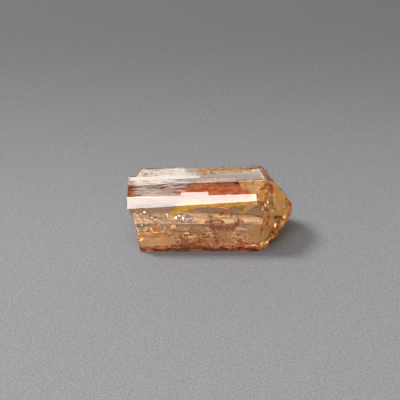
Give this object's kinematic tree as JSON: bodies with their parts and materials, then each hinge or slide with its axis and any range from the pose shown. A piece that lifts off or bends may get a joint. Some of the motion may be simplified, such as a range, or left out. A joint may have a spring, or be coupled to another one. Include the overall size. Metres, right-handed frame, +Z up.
{
  "type": "imperial topaz crystal",
  "caption": "Clear orange topaz crystal: a grooved prism with a faceted, etched tip and a stepped, cleaved end, lying on a flat prism face.",
  "frame": {"origin": "middle of the bottom of the crystal's box, on the surface that it lies on", "axes": "+X along the crystal towards its tip, +Y towards its back, +Z up"},
  "size_m": [0.0218, 0.0128, 0.0089],
  "materials": {
    "topaz": "clear orange crystal, glassy prism faces, etched tip and broken end"
  },
  "bodies": {
    "root": {"topaz_crystal": "topaz"}
  },
  "joints": []
}
